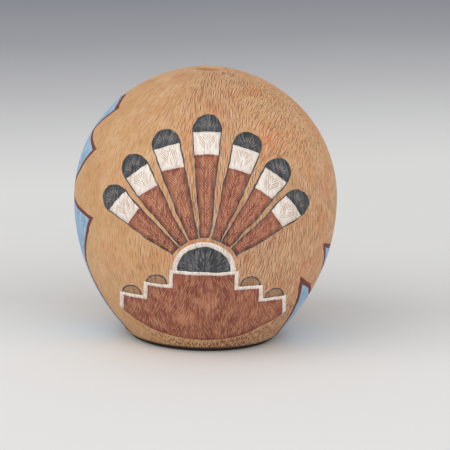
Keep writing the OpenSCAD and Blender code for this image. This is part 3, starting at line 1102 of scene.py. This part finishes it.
def make_front():
    """The feather fan over the cloud terrace; returns all its outlines."""
    terrace = [terrace_loop()]
    fur = scattered_strokes(terrace, TERRACE_FUR, from_above)
    painted_tile("cloud_terrace", "terrace", "red_brown_slip", terrace, fur)
    edging = [edging_loop()]
    nicks = scattered_strokes(edging, EDGING_NICKS, slanting)
    painted_tile("pale_edging", "terrace_edging", "cream_slip", edging, nicks)
    middles = step_cloud_middles()
    clouds = [half_disc(middle, CLOUD_R) for middle in middles]
    dabs = scattered_strokes(clouds, CLOUD_DABS, from_hub)
    painted_tile("step_cloud_discs", "step_clouds", "ochre_slip", clouds, dabs)
    rims = [half_ring(middle, CLOUD_R, LINE_W) for middle in middles]
    painted_tile("step_cloud_lines", None, "dark_grey_slip", rims)
    hub = [half_disc((0, FAN_Z), HUB_R)]
    rays = scattered_strokes(hub, HUB_RAYS, from_hub)
    painted_tile("dark_hub", "fan_hub", "dark_grey_slip", hub, rays)
    ring = [half_ring((0, FAN_Z), HUB_R, HUB_RING_W)]
    nicks = scattered_strokes(ring, RING_NICKS, from_hub)
    painted_tile("pale_hub_ring", "hub_ring", "cream_slip", ring, nicks)
    vanes, bands, tips = feather_loops(vane_loop), feather_loops(band_loop), feather_loops(tip_loop)
    barbs = herringbone(FEATHER_L, BAND_BACK, VANE_SEED)
    painted_tile("feather_vane_layer", "feather_vanes", "red_brown_slip", vanes, barbs)
    barbs = herringbone(BAND_BACK, FEATHER_R, BAND_SEED)
    painted_tile("feather_band_layer", "feather_bands", "cream_slip", bands, barbs)
    rays = tip_rays(TIP_SEED)
    painted_tile("feather_tip_layer", "feather_tips", "dark_grey_slip", tips, rays)
    lines = [uneven_line(contour) for contour in feather_loops(feather_contour)]
    grown = [outer for _, outer in lines]
    edges = [inner for inner, _ in lines] + grown
    painted_tile("feather_lines", None, "dark_grey_slip", edges)
    return terrace + edging + clouds + rims + hub + ring + grown


outlines = make_panels()
outlines[FRONT] = make_front()
etched_ground(outlines)
for node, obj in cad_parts.items():
    if not obj.hide_render:
        obj.data.materials.clear()
        obj.data.materials.append(RUBBED if node == "mouth_ring" else CLAY)


# Floor, light and camera

# The floor's tones by the distance behind the pot's middle; at the right they reach farther back. They are
# painted shade: the floor darkens toward the back, and the dip at about the pot's own depth is a painted
# soft shadow round its base.
FLOOR_HALF = 3.0
FLOOR_NEAR, FLOOR_FAR = -0.10, 0.65
FLOOR_TONES = [(-0.10, (234, 234, 233)), (-0.02, (236, 236, 235)), (0.03, (222, 222, 221)),
               (0.09, (230, 230, 228)), (0.16, (232, 233, 232)), (0.24, (220, 221, 221)),
               (0.34, (198, 198, 201)), (0.47, (169, 171, 177)), (0.65, (144, 148, 157))]
FLOOR_SLEW, SLEW_BACK, SLEW_RIGHT = -0.08, (0.05, 0.25), (-0.12, 0.12)
FLOOR_ROUGH, FLOOR_SPECULAR = 0.9, 0.1

# Area lights: name, place, size, power, colour
WHITE = (1.0, 1.0, 1.0)
LIGHTS = [("key", (-1.0, -0.55, 1.05), 1.5, 5.7, (1.0, 0.985, 0.96)),
          ("front", (-0.1, -1.2, 1.0), 2.4, 9.0, (1.0, 0.99, 0.98)),
          ("fill", (1.1, -0.8, 0.45), 2.0, 3.4, WHITE),
          ("low_left", (-1.2, -0.35, 0.25), 0.8, 0.7, WHITE),
          ("low_right", (1.2, -0.3, 0.2), 0.8, 1.2, WHITE)]
LIGHT_AIM = Vector((0, 0, 0.035))
SKY_STRENGTH = 0.58


def floor_material():
    """Pale floor, darkened by painted shade with the distance behind the pot, most at the left."""
    n = Nodes("studio_floor")
    x, y, _ = n.split()
    far_right = n.scaled(n.ramp(y, *SLEW_BACK), n.ramp(x, *SLEW_RIGHT))
    slewed = n.first("Math", far_right, FLOOR_SLEW, y, operation="MULTIPLY_ADD")
    tones = n.add("ValToRGB", n.first("MapRange", slewed, FLOOR_NEAR, FLOOR_FAR))
    stops = tones.color_ramp.elements
    while len(stops) < len(FLOOR_TONES):
        stops.new(0.5)
    for stop, (back, tone) in zip(stops, FLOOR_TONES):
        stop.position = (back - FLOOR_NEAR) / (FLOOR_FAR - FLOOR_NEAR)
        stop.color = srgb(*tone)
    return n.finish(tones.outputs["Color"], FLOOR_ROUGH, FLOOR_SPECULAR)


def make_floor():
    corners = [(x * FLOOR_HALF, y * FLOOR_HALF, 0) for x, y in ((-1, -1), (1, -1), (1, 1), (-1, 1))]
    mesh = bpy.data.meshes.new("floor")
    mesh.from_pydata(corners, [], [(0, 1, 2, 3)])
    mesh.materials.append(floor_material())
    floor = new_object("floor", mesh)


def make_light():
    for name, place, size, power, colour in LIGHTS:
        data = bpy.data.lights.new(name, "AREA")
        data.shape = "DISK"
        data.size = size
        data.energy = power
        data.color = colour
        light = new_object(name, data)
        light.location = place
        light.rotation_euler = (LIGHT_AIM - Vector(place)).to_track_quat("-Z", "Y").to_euler()
    world = bpy.data.worlds.new("studio")
    world.use_nodes = True
    sky = world.node_tree.nodes["Background"]
    sky.inputs["Color"].default_value = (*WHITE, 1.0)
    sky.inputs["Strength"].default_value = SKY_STRENGTH
    bpy.context.scene.world = world


def make_camera():
    """A long lens, raised and rolled a little, with the pot left of and above the middle."""
    image = 450
    lens_px = 2600
    sensor = 36.0
    belly_px = 131.5
    px = BELLY_R * MM / belly_px
    distance = lens_px * px
    rise = math.radians(12.0)
    roll = math.radians(1.4)
    pot_at = (205.6, 201.4)
    centre = Vector((0, 0, POT_H * MM / 2))
    ahead = Vector((0, math.cos(rise), -math.sin(rise)))
    right = Vector((1, 0, 0))
    up = right.cross(ahead)
    data = bpy.data.cameras.new("camera")
    data.sensor_width = sensor
    data.lens = sensor * lens_px / image
    camera = new_object("camera", data)
    eye = centre - ahead * distance
    across = (image / 2 - pot_at[0]) * px
    down = (image / 2 - pot_at[1]) * px
    tilt_right = right * math.cos(roll) + up * math.sin(roll)
    tilt_up = up * math.cos(roll) - right * math.sin(roll)
    aim = centre + tilt_right * across - tilt_up * down
    back = (eye - aim).normalized()
    side = tilt_up.cross(back).normalized()
    camera.matrix_world = Matrix((side, back.cross(side), back)).transposed().to_4x4()
    camera.location = eye
    bpy.context.scene.camera = camera


make_floor()
make_light()
make_camera()
bpy.context.scene.view_settings.view_transform = "Standard"
